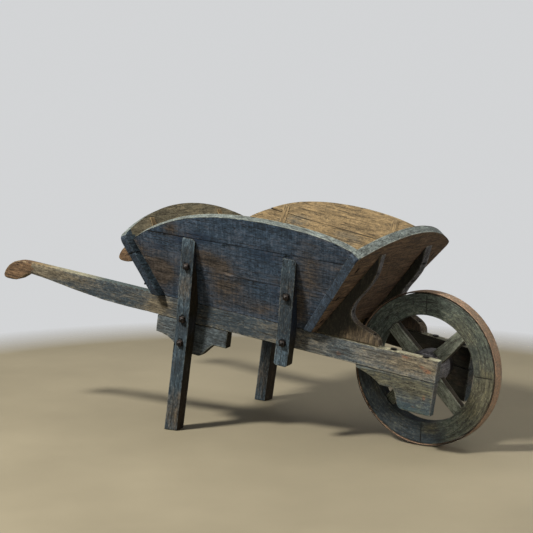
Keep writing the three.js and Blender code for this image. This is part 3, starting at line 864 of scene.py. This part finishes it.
def rim_grain(mesh, radius):
    """Replaces the grain of a revolved piece by its place round the rim."""
    grain = mesh.attributes["grain"].data
    for vert, entry in zip(mesh.vertices, grain):
        offset = vert.co - AXLE
        reach = math.hypot(offset.x, offset.z)
        turn = math.atan2(offset.z, offset.x)
        entry.vector = (turn * radius + RIM_SHIFT, reach, offset.y)


def rim_marks(mesh):
    """Adds the rim's marks to the attributes that they name."""
    layers = {name: mesh.attributes[name].data for name in ("bare", "fresh")}
    for index, vert in enumerate(mesh.vertices):
        offset = vert.co - AXLE
        reach, turn = math.hypot(offset.x, offset.z), math.degrees(math.atan2(offset.z, offset.x))
        for name, angle, span, radius, width, weight in RIM_MARKS:
            away = (turn - angle + 180) % 360 - 180
            strength = math.exp(-((away / span) ** 2) - ((reach - radius) / width) ** 2)
            layers[name][index].value += weight * strength


def build_wheel():
    for index in range(FELLOES):
        angle = FIRST_SPOKE + index * math.tau / FELLOES
        spoke_place = wheel_place @ turned(-angle, "Y")
        worn_node(
            f"spoke_{index + 1}", spoke_place, ALONG_X, ["spoke", "post_side"],
            choose=flanks("spoke", "post_side"), steps=(0.009, 0.010, 0.009),
        )
        corners = [(RIM_INNER, -RIM_HALF), (RIM_OUTER, -RIM_HALF), (RIM_OUTER, RIM_HALF)]
        section = subdivided(corners + [(RIM_INNER, RIM_HALF)], 0.009)
        half = math.pi / FELLOES - FELLOE_GAP
        mesh = revolved(section, -half, half, FELLOE_STEPS)
        name = f"felloe_{index + 1}"
        piece = worn(
            mesh, f"{name}_worn", spoke_place, ALONG_X, "wheel", bevel=0.003, chip=0.0014,
            seam=felloe_seam,
        )
        rim_grain(piece.data, RIM_OUTER)
        rim_marks(piece.data)
        stand_in(piece, name)
    build_iron_hoops()
    build_hub()


def build_iron_hoops():
    low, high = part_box("tyre")
    outer, half = (high.x - low.x) / 2, (high.y - low.y) / 2
    inner, shoulder = outer - TYRE_DEPTH, outer - TYRE_CROWN
    crown = [(inner, -half), (shoulder, -half), (outer, -half + CROWN_WIDTH)]
    crown += [(outer, half - CROWN_WIDTH), (shoulder, half), (inner, half)]
    mesh = revolved(subdivided(crown, 0.008), 0, math.tau, TYRE_STEPS)
    piece = worn(
        mesh, "tyre_worn", wheel_place, ALONG_X, ["tyre", "tyre_side"],
        choose=flanks("tyre_side", "tyre"), bevel=0.0014, chip=0.0006,
    )
    rim_grain(piece.data, outer)
    stand_in(piece, "tyre")
    for side in SIDES:
        node = f"hub_band_{side}"
        low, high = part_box(node)
        outer = (high.x - low.x) / 2
        inner = outer - BAND_DEPTH
        corners = [(inner, low.y), (outer, low.y), (outer, high.y), (inner, high.y)]
        mesh = revolved(subdivided(corners, 0.006), 0, math.tau, HUB_STEPS)
        stand_in(worn(mesh, f"{node}_worn", wheel_place, ALONG_X, "iron", bevel=0.001), node)
    worn_node("axle", wheel_place, ALONG_Y, "iron", bevel=0.0)


def build_hub():
    """A turned hub: a belly for the spokes, a necked shoulder and grooved ends at each side."""
    half = [
        (0.0104, 0.094), (0.018, 0.094), (0.020, 0.0965), (0.029, 0.0965), (0.030, 0.0945),
        (0.038, 0.0945), (0.0398, 0.0975), (0.0398, 0.073), (0.047, 0.066), (0.050, 0.062),
        (0.0515, 0.058), (0.054, 0.050), (0.0565, 0.040), (0.058, 0.024),
    ]
    section = half + [(radius, -y) for radius, y in reversed(half)]
    mesh = revolved(subdivided(section, 0.009), 0, math.tau, HUB_STEPS)
    piece = worn(mesh, "hub_worn", wheel_place, ALONG_Y, "hub", bevel=0.0, chip=0.0008)
    stand_in(piece, "hub")


# ---- Small fixings ----

NAIL_SIDES = 12
NAIL_RINGS = [(1.0, -0.001), (1.0, 0.0004), (0.86, 0.0010), (0.4, 0.0012)]  # scale and height
SHOT = 0.1  # how far off a panel a nail's path starts
CLEAT_SUNK, CLEAT_PROUD, CLEAT_FOOT = 0.002, 0.0022, 0.02
SIDE_CLEAT_HALF, REAR_CLEAT_HALF = 0.013, 0.012
SIDE_CLEATS = (("rear", -0.771, 0.278), ("front", -0.320, 0.321))  # place along and top
REAR_CLEAT_PLACE, REAR_CLEAT_TOP = 0.19, 0.250


def squared(value):
    """Pushes a sine or cosine outwards, which turns a circle into a rounded square."""
    return math.copysign(abs(value) ** 0.5, value)


def nail_mesh(length, width):
    """A cut nail's head: a low oblong dome about the origin."""
    mesh = bmesh.new()
    levels = []
    for scale, height in NAIL_RINGS:
        level = []
        for index in range(NAIL_SIDES):
            angle = math.tau * index / NAIL_SIDES
            x = squared(math.cos(angle)) * length * scale / 2
            y = squared(math.sin(angle)) * width * scale / 2
            level.append(mesh.verts.new((x, y, height)))
        levels.append(level)
    for lower, upper in zip(levels, levels[1:]):
        for index in range(NAIL_SIDES):
            after = (index + 1) % NAIL_SIDES
            mesh.faces.new((lower[index], lower[after], upper[after], upper[index]))
    mesh.faces.new(levels[-1])
    mesh.faces.new(levels[0][::-1])
    return mesh


def drive_nails(name, hosts, place, shots, direction, length=0.017, width=0.008):
    """Sets a nail's head where each shot, a point in place's directions, meets a host piece."""
    trees = []
    for host in hosts:
        mesh = bmesh.new()
        mesh.from_mesh(host.data)
        trees.append(BVHTree.FromBMesh(mesh))
        mesh.free()
    whole = bmesh.new()
    aim = (place.to_3x3() @ Vector(direction)).normalized()
    for shot in shots:
        start = place @ Vector(shot)
        hits = [tree.ray_cast(start, aim) for tree in trees]
        hits = [hit for hit in hits if hit[0] is not None]
        if not hits:
            continue
        point, normal, _, _ = min(hits, key=lambda hit: hit[3])
        head = nail_mesh(length, width)
        turn = normal.to_track_quat("Z", "Y").to_matrix().to_4x4()
        head.transform(Matrix.Translation(point) @ turn)
        data = bpy.data.meshes.new("nail")
        head.to_mesh(data)
        head.free()
        whole.from_mesh(data)
        bpy.data.meshes.remove(data)
    tree = edge_tree([])
    weathered(whole, LYING_ALONG_X, tree, tree, next(seeds), 0)
    piece = made_object(whole, name, Matrix.Identity(4), "nail", None)
    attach(piece, "frame")


def worn_pieces(*nodes):
    return [bpy.data.objects[f"{node}_worn"] for node in nodes]


def build_nails():
    for side in SIDES:
        sign = SIGN[side]
        boards = worn_pieces("front_board_low", "front_board_top")
        places = ((0.246, 0.274), (0.2255, 0.152), (0.205, 0.05))
        shots = [(SHOT, sign * y, z) for y, z in places]
        drive_nails(f"{side}_front_nails", boards, front_place, shots, (-1, 0, 0), 0.012, 0.021)
        shots = [(0, 0.018, z) for z in (0.10, 0.155, 0.22, 0.285)]
        scroll = worn_pieces(f"{side}_scroll_bracket")
        drive_nails(f"{side}_scroll_nails", scroll, side_place[side], shots, (-1, 0, 0))
        boards = worn_pieces("rear_board_low", "rear_board_top")
        places = ((0.325, 0.19), (0.31, 0.10), (0.30, 0.04))
        shots = [(-SHOT, sign * y, z) for y, z in places]
        drive_nails(f"{side}_rear_nails", boards, rear_place, shots, (1, 0, 0))


def cleat(name, place, low, high):
    """A thin inlaid cleat that holds the boards of a panel together from inside."""
    low, high = Vector(low), Vector(high)
    size = high - low
    mesh = bmesh.new()
    bmesh.ops.create_cube(mesh, size=1.0)
    mesh.transform(Matrix.Translation((high + low) / 2) @ Matrix.Diagonal((*size, 1)))
    steps = tuple(0.008 if extent > 0.01 else 0 for extent in size)
    piece = worn(mesh, name, place, ALONG_Z, "inside", bevel=0.0012, steps=steps, chip=0.0005)
    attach(piece, "frame")


def build_cleats():
    for side in SIDES:
        sunk, proud = SIDE_THICKNESS - CLEAT_SUNK, SIDE_THICKNESS + CLEAT_PROUD
        for name, x, top in SIDE_CLEATS:
            low = (x - SIDE_CLEAT_HALF, sunk, CLEAT_FOOT)
            high = (x + SIDE_CLEAT_HALF, proud, top)
            cleat(f"{side}_panel_cleat_{name}", panel_place[side], low, high)
        sunk, proud = REAR_THICKNESS - CLEAT_SUNK, REAR_THICKNESS + CLEAT_PROUD
        y = REAR_CLEAT_PLACE * SIGN[side]
        low = (sunk, y - REAR_CLEAT_HALF, CLEAT_FOOT)
        high = (proud, y + REAR_CLEAT_HALF, REAR_CLEAT_TOP)
        cleat(f"{side}_rear_cleat", rear_place, low, high)


# ---- Scene ----

FLOOR_RADIUS, FADE_FROM = 2.1, 1.6
FLOOR_DROP = 0.001  # how far the floor lies below the soles


def build_floor():
    graph = Graph("floor_paint")
    coordinates = graph.add("ShaderNodeNewGeometry", {}).outputs["Position"]
    graph.grain = coordinates
    cloud = graph.noise((1.3, 1.3, 1.3), 5, 0.6)
    colour = graph.ramp(cloud, (0.3, (0.185, 0.160, 0.108)), (0.7, (0.230, 0.200, 0.137)))
    roughness = graph.maths("ADD", graph.weighted((cloud, 0.3)), 0.55)
    reach = graph.add("ShaderNodeVectorMath", {0: coordinates}, operation="LENGTH").outputs["Value"]
    graph.feed(graph.shader.inputs["Alpha"], graph.step(reach, FLOOR_RADIUS, FADE_FROM))
    material = graph.finish(colour, roughness, cloud, FLOOR_RELIEF)
    mesh = bmesh.new()
    bmesh.ops.create_circle(mesh, cap_ends=True, segments=96, radius=FLOOR_RADIUS)
    data = bpy.data.meshes.new("floor")
    mesh.to_mesh(data)
    mesh.free()
    data.materials.append(material)
    floor = bpy.data.objects.new("floor", data)
    floor.location.z = -FLOOR_DROP
    bpy.context.scene.collection.objects.link(floor)


add_camera()
for side in SIDES:
    build_side(side)
    build_side_panel(side)
build_end_panel("front", front_place, 1, "front", "inside")
build_end_panel("rear", rear_place, -1, "panel", "rear_inside")
build_bed()
build_wheel()
build_nails()
build_cleats()
build_floor()
add_world((0.97, 0.985, 1.0), 0.28, 0.67)
add_light("key", (-1.38, -3.11, 3.7), 0.75, 440, (1.0, 0.97, 0.90))
add_light("accent", (1.5, -2.1, 0.75), 0.7, 0.9, (1.0, 0.97, 0.92), (0.76, -0.05, 0.22), 20)
add_light("rim", (3.4, 0.9, 1.6), 1.6, 20, (1.0, 0.97, 0.92))
add_light("top", (0.2, 0.9, 3.6), 2.4, 50, (1.0, 0.98, 0.95))
